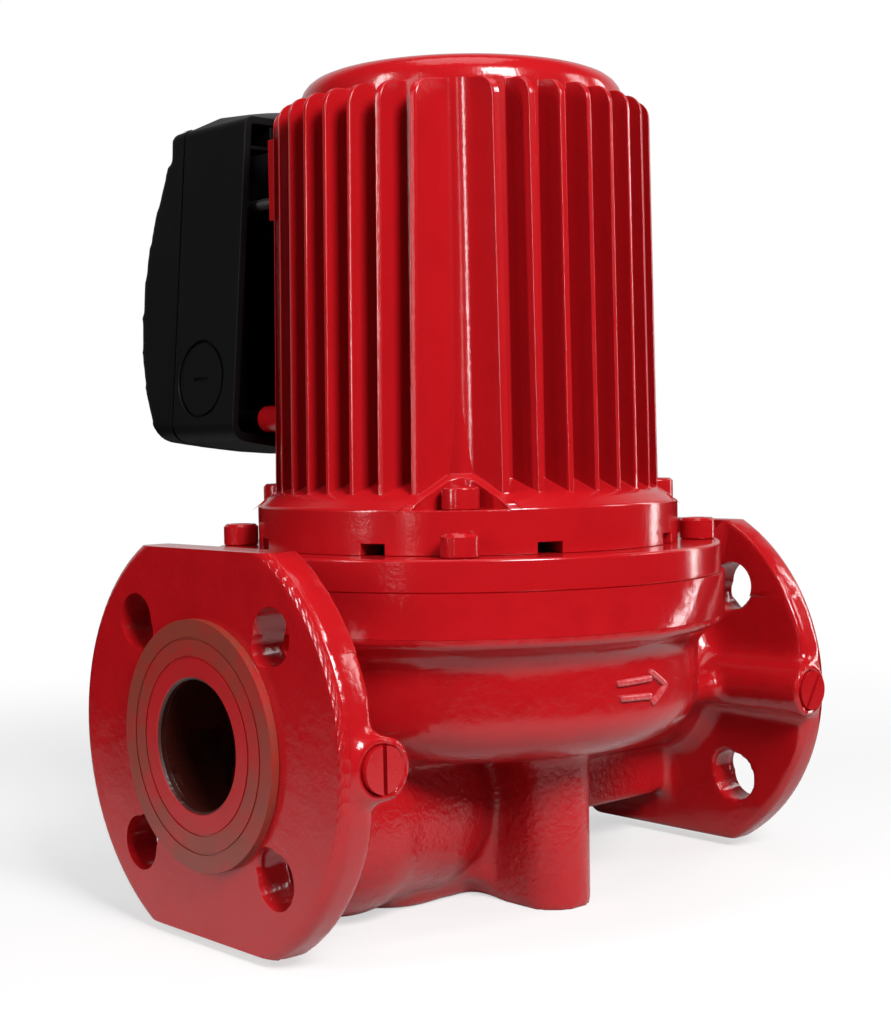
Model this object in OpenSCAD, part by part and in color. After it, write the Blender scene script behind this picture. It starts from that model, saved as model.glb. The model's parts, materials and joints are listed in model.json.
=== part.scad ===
// Flanged inline circulation pump with a wet rotor, a finned motor housing and a side terminal box.
// Millimetres, +Z up. The origin lies on the shaft axis in the plane of the foot.
// X runs from the inlet port (-X) to the outlet port (+X). The terminal box is on the +Y side.

/* [Ports and flanges] */
// Distance between the two port faces
face_to_face = 250; // [244:1:300]
// Height of the port centreline above the foot
port_height = 68; // [67:1:90]
// Outer diameter of each flange
flange_d = 150; // [146:1:170]
// Distance between the two flats of a flange
flange_flats = 130; // [124:1:133]
// Thickness of a flange behind its raised face
flange_t = 13; // [11:0.5:16]
// Outer diameter of the raised sealing face
raised_d = 84; // [78:1:88]
// Height of the raised sealing face
raised_h = 3; // [2:0.5:4]
// Diameter of the port bore
port_bore = 44; // [38:1:46]
// Depth of the straight port bore
port_depth = 28; // [22:1:30]
// Larger of the two bolt circles
bolt_pcd = 110; // [108:1:114]
// Bolt hole diameter on the larger circle
bolt_hole = 19; // [18:0.5:20]
// Smaller of the two bolt circles
bolt_pcd_small = 100; // [98:1:104]
// Bolt hole diameter on the smaller circle
bolt_hole_small = 14; // [12:0.5:15]
// Diameter of the gauge plug
gauge_plug_d = 15; // [12:0.5:16]
// Wall round the gauge plug
gauge_wall = 3; // [2:0.5:5]

/* [Pump housing] */
// Radius of the housing rim under the motor
rim_r = 95.5; // [94.5:0.5:100]
// Height of the rim's lower edge above the port centreline
rim_lift = 31; // [29:0.5:36]
// Height of the rim
rim_h = 19; // [17:0.5:24]
// Radius of the volute wall
volute_r = 85.5; // [82:0.5:88]
// Depth of the volute below the port centreline
volute_drop = 12; // [10:0.5:14]
// Radius of the inlet duct under the volute
duct_r = 33; // [31:0.5:34]
// Wall of the inlet duct
duct_wall = 12.5; // [12:0.5:15]
// Outer radius of the neck behind each flange
neck_r = 29; // [27:0.5:30]
// Distance of each foot post from the shaft axis
foot_reach = 42; // [38:1:50]
// Radius of a foot post
foot_post_r = 13.5; // [12:0.5:16]
// Tapping diameter of the foot holes
foot_hole = 10.2; // [8.5:0.1:12]
// Drilled depth of the foot holes
foot_hole_depth = 32; // [30:1:40]
// Thickness of the web under the outlet pipe
web_t = 8; // [6:0.5:12]

/* [Motor ring and screws] */
// Radius of the motor ring
ring_r = 94; // [93:0.5:96]
// Thickness of the motor ring
ring_h = 11; // [9:0.5:14]
// Screw circle radius of the ring screws
ring_screw_reach = 86; // [85.5:0.25:87]
// Screw circle radius of the motor screws
motor_screw_reach = 70.5; // [70:0.25:71.5]
// Thread diameter of the ring and motor screws
screw_d = 8; // [6:0.5:8]

/* [Motor housing] */
// Radius of the bell at the foot of the motor
bell_r = 78.4; // [77.5:0.1:79]
// Height of the bell's straight wall
bell_h = 15.5; // [13:0.5:18]
// Height of the sloping shoulder above the bell
shoulder_h = 9.5; // [8:0.5:12]
// Radius of the motor core between the fins
core_r = 60; // [59:0.5:62]
// Height from the shoulder to the top of the motor
core_h = 146; // [130:1:170]
// Radius over the fin tips at the shoulder
fin_tip_r = 71.8; // [69:0.1:72.5]
// Draft of the fin tips from shoulder to top
fin_draft = 1.8; // [0.5:0.1:3]
// Number of fins on each of the four sides
fin_count = 8; // [4:2:10]
// Distance from one fin to the next
fin_pitch = 11.03; // [9.5:0.01:11.3]
// Thickness of a fin at its root
fin_root_t = 3; // [2.5:0.1:4]
// Thickness of a fin at its tip
fin_tip_t = 1.8; // [1.4:0.1:2.4]
// Rounding of the motor's top edge
dome_r = 9; // [6:0.5:12]
// Number of drain slots in the bell
drain_count = 8; // [4:4:12]
// Width of a drain slot
drain_w = 9; // [6:0.5:12]
// Height of a drain slot
drain_h = 4; // [3:0.5:6]

/* [Wet end and drive] */
// Radius of the impeller
impeller_r = 46; // [40:0.5:48]
// Width of the impeller passage
impeller_b = 10; // [7:0.5:12]
// Number of impeller vanes
vane_count = 7; // [5:1:9]
// Radius of the impeller eye
eye_r = 18; // [15:0.5:19]
// Radius of the shaft
shaft_r = 8; // [7:0.5:9]
// Running clearance round the shaft
shaft_gap = 0.05; // [0.03:0.01:0.08]
// Outer radius of the rotor
rotor_r = 28.4; // [26:0.1:28.6]
// Inner radius of the rotor can
can_r = 30; // [29.5:0.1:31]
// Wall of the rotor can
can_t = 0.8; // [0.5:0.1:1.2]
// Outer radius of the stator stack
stator_r = 54; // [52:0.5:55]

/* [Terminal box] */
// Half width of the box at its lower edge
box_half_low = 65.5; // [60:0.5:70]
// Half width of the box at its upper corners
box_half_top = 56; // [52:0.5:60]
// Height of the box's lower corners above the port centreline
box_lift = 101; // [95:1:110]
// Height of the box at its side walls
box_side_h = 122; // [110:1:128]
// Extra height of the box's crowned top
box_crown = 14.5; // [10:0.5:16]
// Extra depth of the box's bowed bottom
box_sag = 10; // [6:0.5:12]
// Distance from the shaft axis to the box's rear edge
box_back = 59; // [57:0.5:60]
// Depth of the box base
box_depth = 40; // [36:0.5:46]
// Wall of the box
box_wall = 3; // [2.5:0.1:4]
// Greatest depth of the lid
lid_depth = 26.4; // [24:0.2:27]
// Depth of the lid's rim
lid_rim = 8; // [6:0.5:10]
// Diameter of a blanked cable entry
entry_d = 30; // [25:0.5:32]
// Height of the cable entries above the box's lower edge
entry_lift = 23.4; // [20:0.2:30]

/* [Hidden] */
$fn = 72;

paint_red = "#b3161c";
box_black = "#17171a";
steel = "#b9bcc0";
rubber = "#1d1d1f";

eps = 0.01;
over = 1;
seat_gap = 0.02;

// Heights of the stacked castings
z_rim0 = port_height + rim_lift;
z_rim1 = z_rim0 + rim_h;
z_ring1 = z_rim1 + ring_h;
z_bell1 = z_ring1 + bell_h;
z_core0 = z_bell1 + shoulder_h;
z_top = z_core0 + core_h;
z_volute0 = port_height - volute_drop;

// Flanges, counted from the port face
flange_front = face_to_face / 2 - raised_h;
flange_back = flange_front - flange_t;
gauge_x = flange_back;
gauge_boss_r = gauge_plug_d / 2 + gauge_wall;
gauge_face = flange_d / 2 + 3;
gauge_plug_l = 11;
gauge_channel_r = 3.5;
gauge_slot_w = 1.6;
gauge_slot_h = 2;
groove_radii = [29.5, 35.7];
groove_w = 0.8;
groove_h = 0.4;
neck_flare = 7;

// Volute and impeller chamber
plate_t = 6;
plate_r = 62;
chamber_r = impeller_r + 6;
chamber_floor = port_height + 12;
channel_z = chamber_floor + 12;
channel_pitch_r = chamber_r + 6;
channel_steps = 6;
channel_r0 = 8;
channel_r1 = 15;
volute_corner = [30, 18];
collar_step = 2;
collar_drop = 5;

// Inlet duct: it turns down behind the flange, runs low under the volute and ends below the eye.
// Its underside just clears the plane of the foot.
duct_in_r = duct_r - duct_wall;
duct_bulge = 1;
ball_swell = 0.7;
foot_clear = 0.3;
duct_z = foot_clear + duct_r + duct_bulge + ball_swell;
duct_start = [-(face_to_face / 2 - port_depth), 0, port_height];
duct_turn = [-flange_back + 21, 0, port_height];
duct_low = [-66, 0, duct_z];
duct_end = [-34, 0, duct_z];
eye_column_r = duct_in_r + 8;

// Web under the outlet neck, and the round rib from the volute to the outlet flange
web_z = 18.5;
rib_r = 6.5;
rib_y = -33;
rib_z = port_height - 1.5;

// Shaft line
neck_wall = 4.5;
neck_gap = 0.3;
neck_drop = 3;
wear_ring_t = 4;
shroud_t = 2;
shroud_z = chamber_floor + 5;
vane_z = shroud_z + shroud_t;
hub_r = shaft_r + 5;
hub_top = vane_z + impeller_b + 9;
thread_r = shaft_r - 3;
nut_r = thread_r + 4;
bearing_wall = 7;
bearing_h = 14;
bearing_r = shaft_r + bearing_wall;
plate_hub_r = bearing_r + 5;
stack_lift = 14;
stack_head = 52;
stack_z = z_core0 + stack_lift;
stack_h = core_h - stack_lift - stack_head;
winding_h = 13;
can_top = z_top - 22;
can_flange_t = 1.5;
thrust_h = 5;
thrust_z = z_rim1 + bearing_h + 0.3;
shaft_top = can_top - 3;
neck_in_r = 13.6;
neck_out_r = 16;
top_recess = 4;
top_recess_r = 24;
vent_head_r = 18.5;
vent_head_h = 4.5;
vent_gasket_t = 1.5;
vent_thread_gap = 0.05;

// Housing gasket groove
gasket_r = plate_r + 2.5;
gasket_w = 4;
gasket_t = 2;

// Screws
head_r = screw_d * 0.8125;
head_h = screw_d;
socket_r = screw_d * 0.433;
ring_thread_h = 13;
motor_thread_h = 7;
hole_gap = 0.3;
bell_bore = 63;
stator_gap = 0.05;
housing_wall_top = 8;

// Pocket for each motor screw, and the ribs along its two straight walls
pocket_edge = 42.5;
pocket_floor = z_bell1 - 0.5;
pocket_round = 7;
pocket_rib = 3;

// Terminal box
z_box0 = port_height + box_lift;
z_box_side = z_box0 + box_side_h;
box_front = box_back + box_depth;
box_floor = 76;
box_floor_t = 3;
box_corner_low = 7;
box_corner_top = 4;
sag_r = 300;
motor_clear = 1;
lid_gasket_t = 1;
lid_front0 = box_front + lid_gasket_t;

// Hump on the box's flat top: it falls away from the parting line to the rear and to the front
hump_half = box_half_top - 3;
hump_break = [39, 6.3];
hump_r = 120;
hump_fall_rear = 7.4;
hump_fall_front = -12;

// Lugs of the motor that carry the box: place in Z and end face in Y, and the upper ones' ribs
lug_reach = 50;
lug_low = [z_box0 + 7.5, box_back - 2];
lug_high = [z_box0 + 88.5, box_back - 12];
lugs = [lug_low, lug_high];
lug_r = 5;
lug_root = 32;
lug_rib = [-7.5, 22.5];
box_screw_r = 2.15;
box_screw_grip = 11;
screw_head_h = 2.5;
sleeve_wall = 1.2;
sleeve_high = box_back + 5;

// Lid screws, in posts of the base
lid_screw_low = [34, z_box0 + 6.5];
lid_screw_high = [46, z_box_side - 7];
lid_screw_r = 2;
lid_screw_grip = 11;
lid_post_r = 5;
spare = 1;
grommet_z = z_box0 + 54;
grommet_r = 8;
grommet_lip = 1.5;
pad_r = 13;
pad_face = box_floor - 0.3;

// Hollow pocket in each upper rear corner of the box, from its side and top walls inwards
pocket_w = 9;
pocket_h = 8;
pocket_wall = 1.5;
side_tilt = atan((box_half_low - box_half_top) / box_side_h);
entry_z = z_box0 + entry_lift;
entry_y = (box_floor + box_floor_t + box_front) / 2 - 7.5;
entry_gap = 0.05;
entry_groove = 1.2;
entry_sink = 0.3;
entry_thread = 8;
coin_slot = [2.4, 9, 1.4];

// Terminal strip on the box floor
block_w = 60;
block_h = 18;
block_d = 13;
block_z = z_box0 + 24;
pole_count = 5;
pole_pitch = block_w / pole_count;
pole_screw_r = 3;
pole_head = block_h - 7;
pole_depth = block_d - 6;
wire_pocket = [8, 6, 6];
earth_r = 4;
earth_x = -box_half_low + 21.5;

// Direction of the four screws, measured from +X
diagonals = [45, 135, 225, 315];

function unit(v) = v / norm(v);

// Points of a round corner of radius r at p1, between the lines to p0 and to p2
function corner(p0, p1, p2, r, n = 6) =
    r <= 0 ? [p1] :
    let(u = unit(p0 - p1), v = unit(p2 - p1), half = acos(u * v) / 2,
        c = p1 + unit(u + v) * r / sin(half),
        s = p1 + u * r / tan(half) - c, e = p1 + v * r / tan(half) - c,
        a = atan2(s.y, s.x), turn = (atan2(e.y, e.x) - a + 540) % 360 - 180)
    [for (i = [0:n]) c + r * [cos(a + turn * i / n), sin(a + turn * i / n)]];

// A closed outline whose corners have the given radii
function rounded(points, radii) =
    let(n = len(points))
    [for (i = [0:n - 1]) each corner(points[(i + n - 1) % n], points[i], points[(i + 1) % n], radii[i])];

// Outline of the terminal box in X and Z without its hump, drawn in by an inset
function box_outline(inset = 0) = rounded(
    [[-box_half_low + inset, z_box0 + inset], [0, z_box0 - box_sag + inset],
     [box_half_low - inset, z_box0 + inset], [box_half_top - inset, z_box_side - inset],
     [-box_half_top + inset, z_box_side - inset]],
    [box_corner_low - inset, sag_r, box_corner_low - inset, box_corner_top - inset,
     box_corner_top - inset]);

// Outline of the hump at the parting line, drawn in by an inset
function hump_outline(inset = 0) =
    let(half = hump_half - inset, top = z_box_side - inset)
    rounded([[-half, top - 2 * box_corner_top], [half, top - 2 * box_corner_top], [half, top],
        [hump_break.x, top + hump_break.y], [0, top + box_crown], [-hump_break.x, top + hump_break.y],
        [-half, top]], [0, 0, 0, 0, hump_r, 0, 0]);

// Extrudes an outline in X and Z along Y, from y0 to y1
module along_y(y0, y1) translate([0, y1, 0]) rotate([90, 0, 0]) linear_extrude(y1 - y0) children();

// Body of the terminal box from y0 to y1, with its hump falling from the parting line
module box_body(y0, y1, inset, fall) {
    along_y(y0, y1) polygon(box_outline(inset));
    intersection() {
        translate([-box_half_low, y0, z_box0]) cube([2 * box_half_low, y1 - y0, 2 * box_side_h]);
        translate([0, box_front, z_box_side]) rotate([fall, 0, 0]) translate([0, -box_front, -z_box_side])
            along_y(y0 - box_crown, y1 + box_crown) polygon(hump_outline(inset));
    }
}

// A cylinder along X, from x0 to x1, round the line through y and z
module x_rod(x0, x1, r, y = 0, z = port_height)
    translate([x0, y, z]) rotate([0, 90, 0]) cylinder(h = x1 - x0, r = r);

// A cylinder along Y, from y0 to y1, round the line through x and z
module y_rod(y0, y1, r, x = 0, z = port_height)
    translate([x, y0, z]) rotate([-90, 0, 0]) cylinder(h = y1 - y0, r = r);

// A tapered link between two points of the XZ plane, with a slightly larger ball at its far end
module link(a, b, ra, rb) {
    d = b - a;
    translate(a) rotate([0, atan2(d.x, d.z), 0]) cylinder(h = norm(d), r1 = ra, r2 = rb);
    translate(b) sphere(r = rb + ball_swell);
}

// Places its children on the four diagonals at a radius
module on_diagonals(reach)
    for (a = diagonals) rotate([0, 0, a]) translate([reach, 0, 0]) rotate([0, 0, -a]) children();

module cap_screw(under_head, length) {
    translate([0, 0, under_head]) difference() {
        union() {
            cylinder(h = head_h - 1, r = head_r);
            translate([0, 0, head_h - 1]) cylinder(h = 1, r1 = head_r, r2 = head_r - 1);
        }
        translate([0, 0, head_h / 2]) cylinder(h = head_h, r = socket_r, $fn = 6);
    }
    translate([0, 0, under_head - length]) cylinder(h = length + eps, r = screw_d / 2 - seat_gap);
}

// Flange blank with its raised face, centred on the X axis, facing +X
module flange_blank() {
    intersection() {
        rotate([0, 90, 0]) rotate_extrude()
            polygon(rounded([[0, flange_back], [flange_d / 2, flange_back],
                [flange_d / 2, flange_front], [0, flange_front]], [0, 1.5, 4, 0]));
        translate([0, -flange_d, -flange_flats / 2])
            cube([face_to_face, 2 * flange_d, flange_flats]);
    }
    rotate([0, 90, 0]) translate([0, 0, flange_front - eps]) difference() {
        cylinder(h = raised_h + eps, r = raised_d / 2);
        for (r = groove_radii) translate([0, 0, raised_h - groove_h]) difference() {
            cylinder(h = over, r = r + groove_w / 2);
            translate([0, 0, -over]) cylinder(h = 3 * over, r = r - groove_w / 2);
        }
    }
    y_rod(-gauge_face, -port_bore / 2 - 6, gauge_boss_r, gauge_x, 0);
    rotate([0, 90, 0]) translate([0, 0, flange_back - neck_flare])
        cylinder(h = neck_flare + eps, r1 = neck_r - 1, r2 = neck_r + neck_flare - 1);
}

// Bolt holes, port bore and gauge hole of the flange that faces +X
module flange_cuts() {
    for (a = diagonals) rotate([a, 0, 0]) {
        x_rod(flange_back - over, face_to_face, bolt_hole / 2, bolt_pcd / 2, 0);
        x_rod(flange_back - over, face_to_face, bolt_hole_small / 2, bolt_pcd_small / 2, 0);
    }
    x_rod(face_to_face / 2 - port_depth, face_to_face, port_bore / 2, 0, 0);
    translate([face_to_face / 2 - over, 0, 0]) rotate([0, 90, 0])
        cylinder(h = over + eps, r1 = port_bore / 2 - eps, r2 = port_bore / 2 + over);
    y_rod(-gauge_face - over, -gauge_face + gauge_plug_l + over, gauge_plug_d / 2, gauge_x, 0);
    y_rod(-gauge_face, 0, gauge_channel_r, gauge_x, 0);
}

// Turned outside of the volute and rim, with an elliptic corner at the bottom
function volute_outline() = concat(
    [[0, z_volute0]],
    [for (t = [0:10:90]) [volute_r - volute_corner.x * (1 - sin(t)),
                          z_volute0 + volute_corner.y * (1 - cos(t))]],
    [[volute_r, z_rim0 - collar_drop], [volute_r + collar_step, z_rim0 - collar_drop + 1],
     [volute_r + collar_step, z_rim0 - 2], [rim_r - 2, z_rim0], [rim_r, z_rim0 + 2],
     [rim_r, z_rim1], [0, z_rim1]]);

module foot_plan() {
    for (a = [0:90:270]) rotate(a) {
        translate([0, -foot_post_r]) square([foot_reach, 2 * foot_post_r]);
        translate([foot_reach, 0]) circle(r = foot_post_r);
    }
}

// Spiral channel round the impeller chamber, wider at each step towards the outlet
module volute_channel() {
    step = 360 / channel_steps;
    for (i = [0:channel_steps - 1]) rotate([0, 0, i * step])
        rotate_extrude(angle = step + 1) translate([channel_pitch_r, channel_z])
            circle(r = channel_r0 + (channel_r1 - channel_r0) * i / (channel_steps - 1));
}

// The casting: volute, both flanges, the duct under the volute and the cross-shaped foot
module pump_housing() color(paint_red) difference() {
    union() {
        rotate_extrude() polygon(volute_outline());
        translate([0, 0, port_height]) {
            flange_blank();
            mirror([1, 0, 0]) flange_blank();
        }
        link([-flange_back - eps, 0, port_height], duct_turn, neck_r, neck_r);
        link(duct_turn, duct_low, neck_r, duct_r + duct_bulge);
        link(duct_low, duct_end, duct_r, duct_r - duct_bulge);
        translate([0, 0, duct_z - duct_r + 4]) cylinder(h = z_volute0 - duct_z + duct_r, r = eye_column_r);
        linear_extrude(z_volute0 + 6) foot_plan();
        x_rod(volute_r - 40, flange_back + eps, neck_r);
        translate([0, -web_t / 2, web_z]) cube([flange_back + eps, web_t, port_height - web_z]);
        x_rod(volute_r - 16, gauge_x, rib_r, rib_y, rib_z);
    }
    translate([0, 0, port_height]) {
        flange_cuts();
        mirror([1, 0, 0]) flange_cuts();
    }
    translate(duct_start) sphere(r = duct_in_r + ball_swell);
    link(duct_start, duct_low, duct_in_r, duct_in_r);
    link(duct_low, [0, 0, duct_z], duct_in_r - ball_swell, duct_in_r - ball_swell);
    translate([0, 0, duct_z]) cylinder(h = chamber_floor - duct_z, r = eye_r + 1);
    translate([0, 0, chamber_floor - 6])
        cylinder(h = 7, r = eye_r + neck_wall + neck_gap + wear_ring_t + seat_gap);
    translate([0, 0, chamber_floor]) cylinder(h = z_rim1, r = chamber_r);
    translate([0, 0, z_rim1 - plate_t]) cylinder(h = z_rim1, r = plate_r + hole_gap);
    volute_channel();
    link([channel_pitch_r, 0, channel_z], [face_to_face / 2 - port_depth, 0, port_height],
        channel_r1, port_bore / 2 - 4);
    translate([0, 0, z_rim1 - gasket_t]) difference() {
        cylinder(h = z_rim1, r = gasket_r + gasket_w);
        translate([0, 0, -over]) cylinder(h = 2 * z_rim1, r = gasket_r);
    }
    on_diagonals(ring_screw_reach)
        translate([0, 0, z_rim1 - ring_thread_h - 2 * spare]) cylinder(h = z_rim1, r = screw_d / 2);
    for (s = [-1, 1]) translate([0, s * foot_reach, -over])
        cylinder(h = foot_hole_depth + over, r = foot_hole / 2);
}

// Slotted plug that closes the gauge tapping of the flange on side s
module gauge_plug(s) color(paint_red)
    translate([s * gauge_x, 0, port_height]) difference() {
        y_rod(-gauge_face, -gauge_face + gauge_plug_l, gauge_plug_d / 2 - seat_gap, 0, 0);
        rotate([0, s > 0 ? 32 : 0, 0])
            translate([-gauge_slot_w / 2, -gauge_face - over, -gauge_plug_d])
                cube([gauge_slot_w, over + gauge_slot_h, 2 * gauge_plug_d]);
    }
module inlet_gauge_plug() gauge_plug(-1);
module outlet_gauge_plug() gauge_plug(1);

module wear_ring() color(steel) translate([0, 0, chamber_floor - 6]) difference() {
    cylinder(h = 8, r = eye_r + neck_wall + neck_gap + wear_ring_t);
    translate([0, 0, -over]) cylinder(h = 10, r = eye_r + neck_wall + neck_gap);
}

// One backward-swept vane in plan, as two arcs of the same spiral
function vane_outline(t) =
    let(n = 8, r0 = eye_r + 1, sweep = 62)
    concat([for (i = [0:n]) let(r = r0 + (impeller_r - 0.5 - r0) * i / n, a = -sweep * i / n)
                r * [cos(a), sin(a)]],
           [for (i = [n:-1:0]) let(r = r0 + (impeller_r - 0.5 - r0) * i / n,
                                   a = -sweep * i / n + t / r * 57.3)
                r * [cos(a), sin(a)]]);

// Closed impeller: neck, lower shroud, vanes, upper shroud and hub
module impeller() color(steel) difference() {
    union() {
        translate([0, 0, chamber_floor - neck_drop]) cylinder(h = neck_drop + 5 + eps, r = eye_r + neck_wall);
        translate([0, 0, shroud_z]) cylinder(h = shroud_t, r = impeller_r);
        translate([0, 0, vane_z - eps]) linear_extrude(impeller_b + 2 * eps)
            for (i = [0:vane_count - 1]) rotate(i * 360 / vane_count) polygon(vane_outline(2));
        translate([0, 0, vane_z + impeller_b]) cylinder(h = shroud_t, r = impeller_r);
        translate([0, 0, vane_z]) cylinder(h = hub_top - vane_z, r = hub_r);
    }
    translate([0, 0, chamber_floor - neck_drop - over])
        cylinder(h = vane_z - chamber_floor + neck_drop + over, r = eye_r);
    translate([0, 0, chamber_floor]) cylinder(h = z_rim1, r = shaft_r + seat_gap);
}

module impeller_nut() color(steel) difference() {
    translate([0, 0, chamber_floor]) cylinder(h = vane_z - chamber_floor, r = nut_r, $fn = 6);
    translate([0, 0, chamber_floor - over]) cylinder(h = 2 * vane_z, r = thread_r + seat_gap);
}

module housing_gasket() color(rubber) translate([0, 0, z_rim1 - gasket_t]) difference() {
    cylinder(h = gasket_t, r = gasket_r + gasket_w - 0.05);
    translate([0, 0, -over]) cylinder(h = gasket_t + 2 * over, r = gasket_r + 0.05);
}

// Plate that closes the impeller chamber and holds the lower bearing in its hub
module bearing_plate() color(steel) difference() {
    union() {
        translate([0, 0, z_rim1 - plate_t]) cylinder(h = plate_t, r = plate_r);
        translate([0, 0, z_rim1 - eps]) cylinder(h = bearing_h + eps, r = plate_hub_r);
    }
    translate([0, 0, z_rim1]) cylinder(h = bearing_h + over, r = bearing_r + seat_gap);
    translate([0, 0, 0]) cylinder(h = z_ring1, r = hub_r + 0.5);
    for (a = [0:60:300]) rotate([0, 0, a]) translate([plate_hub_r + 9, 0, 0]) cylinder(h = z_ring1, r = 2);
}

module bearing(z) color("#3a3b3e") translate([0, 0, z]) difference() {
    cylinder(h = bearing_h, r = bearing_r);
    translate([0, 0, -over]) cylinder(h = bearing_h + 2 * over, r = shaft_r + shaft_gap);
}
module lower_bearing() bearing(z_rim1);
module upper_bearing() bearing(can_top - bearing_h);

module thrust_ring() color("#2c2c2e") translate([0, 0, thrust_z]) difference() {
    cylinder(h = thrust_h, r = bearing_r - 1);
    translate([0, 0, -over]) cylinder(h = thrust_h + 2 * over, r = shaft_r + seat_gap);
}

module shaft() color(steel) {
    translate([0, 0, chamber_floor - 2]) cylinder(h = vane_z - chamber_floor + 2 + eps, r = thread_r);
    translate([0, 0, vane_z]) cylinder(h = shaft_top - vane_z - 1, r = shaft_r);
    translate([0, 0, shaft_top - 1]) cylinder(h = 1, r1 = shaft_r, r2 = shaft_r - 1);
}

// Rotor stack with a short-circuit ring at each end
module rotor() color("#a8abb0") translate([0, 0, stack_z]) difference() {
    union() {
        cylinder(h = stack_h, r = rotor_r);
        translate([0, 0, -6]) cylinder(h = stack_h + 12, r = rotor_r - 2);
    }
    translate([0, 0, -10]) cylinder(h = stack_h + 20, r = shaft_r + seat_gap);
}

// Thin can that keeps the water in: clamped flange, tube, end wall and threaded neck
module rotor_can() color(steel) difference() {
    union() {
        translate([0, 0, z_rim1]) cylinder(h = can_flange_t, r = plate_r - 2);
        translate([0, 0, z_rim1]) cylinder(h = can_top + can_t - z_rim1, r = can_r + can_t);
        translate([0, 0, can_top]) cylinder(h = z_top - top_recess - can_top, r = neck_out_r);
    }
    translate([0, 0, z_rim1 - over]) cylinder(h = can_top - z_rim1 + over, r = can_r);
    translate([0, 0, can_top - over]) cylinder(h = z_top, r = neck_in_r);
}

module upper_bearing_holder() color(steel) translate([0, 0, can_top - bearing_h]) difference() {
    cylinder(h = bearing_h, r = can_r - seat_gap);
    translate([0, 0, -over]) cylinder(h = bearing_h + 2 * over, r = bearing_r + seat_gap);
    for (a = [0:90:270]) rotate([0, 0, a]) translate([bearing_r + 7, 0, -over])
        cylinder(h = bearing_h + 2 * over, r = 3.5);
}

// Stator laminations with open slots towards the can
module stator_core() color("#8d9096") translate([0, 0, stack_z]) linear_extrude(stack_h) difference() {
    circle(r = stator_r);
    circle(r = can_r + can_t + 0.2);
    for (a = [0:15:345]) rotate(a) translate([can_r + 3, -2]) square([11, 4]);
}

// Wound end turns above and below the laminations
module stator_windings() color("#9c5a2c") for (z = [stack_z - winding_h, stack_z + stack_h])
    rotate_extrude() polygon(rounded(
        [[can_r + 3, z], [stator_r - 7, z], [stator_r - 7, z + winding_h], [can_r + 3, z + winding_h]],
        [4, 4, 4, 4]));

// Turned ring that joins the motor to the pump housing
module motor_ring() color(paint_red) difference() {
    rotate_extrude() polygon(rounded([[plate_r - 6, z_rim1], [ring_r, z_rim1], [ring_r, z_ring1],
        [plate_r - 6, z_ring1]], [0, 0.6, 1, 0]));
    translate([0, 0, z_rim1 - over])
        cylinder(h = can_flange_t + over + seat_gap, r = plate_r - 2 + hole_gap);
    on_diagonals(ring_screw_reach)
        translate([0, 0, z_rim1 - over]) cylinder(h = ring_h + 2 * over, r = screw_d / 2 + hole_gap);
    on_diagonals(motor_screw_reach)
        translate([0, 0, z_rim1 + 2]) cylinder(h = ring_h, r = screw_d / 2);
}

module ring_screws() color(paint_red) on_diagonals(ring_screw_reach) cap_screw(z_ring1, ring_h + ring_thread_h);

module motor_screws() color(paint_red)
    on_diagonals(motor_screw_reach) cap_screw(pocket_floor, pocket_floor - z_ring1 + motor_thread_h);

// Plan of the fins: straight plates along X and along Y, thinner towards the tip
module fin_plan() {
    first = -(fin_count - 1) / 2 * fin_pitch;
    for (a = [0:90:270]) rotate(a) for (i = [0:fin_count - 1]) translate([0, first + i * fin_pitch])
        polygon([[core_r / 2, -fin_root_t / 2], [fin_tip_r + 1, -fin_tip_t / 2],
                 [fin_tip_r + 1, fin_tip_t / 2], [core_r / 2, fin_root_t / 2]]);
}

// Envelope of the fin tips, with rounded upper corners that run into the core
function fin_envelope() = rounded(
    [[0, z_bell1 - 4], [fin_tip_r, z_bell1 - 4], [fin_tip_r, z_core0],
     [fin_tip_r - fin_draft, z_top - dome_r - 1], [0, z_top - dome_r - 1]],
    [0, 0, 0, 7, 0]);

// The region of one screw pocket, bounded by two straight walls with a round inner corner
module pocket_plan(edge, r) difference() {
    translate([edge, edge]) square(60);
    translate([edge - eps, edge - eps]) difference() {
        square(r);
        translate([r, r]) circle(r = r);
    }
}

// Lugs for the terminal box, with a rib along the upper ones
module box_lugs() for (s = [-1, 1]) {
    for (p = lugs) y_rod(lug_root, p.y, lug_r, s * lug_reach, p.x);
    translate([s * lug_reach - lug_r, lug_root, lug_high.x + lug_rib[0]])
        cube([2 * lug_r, lug_high.y - lug_root, lug_rib[1] - lug_rib[0]]);
}

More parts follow.
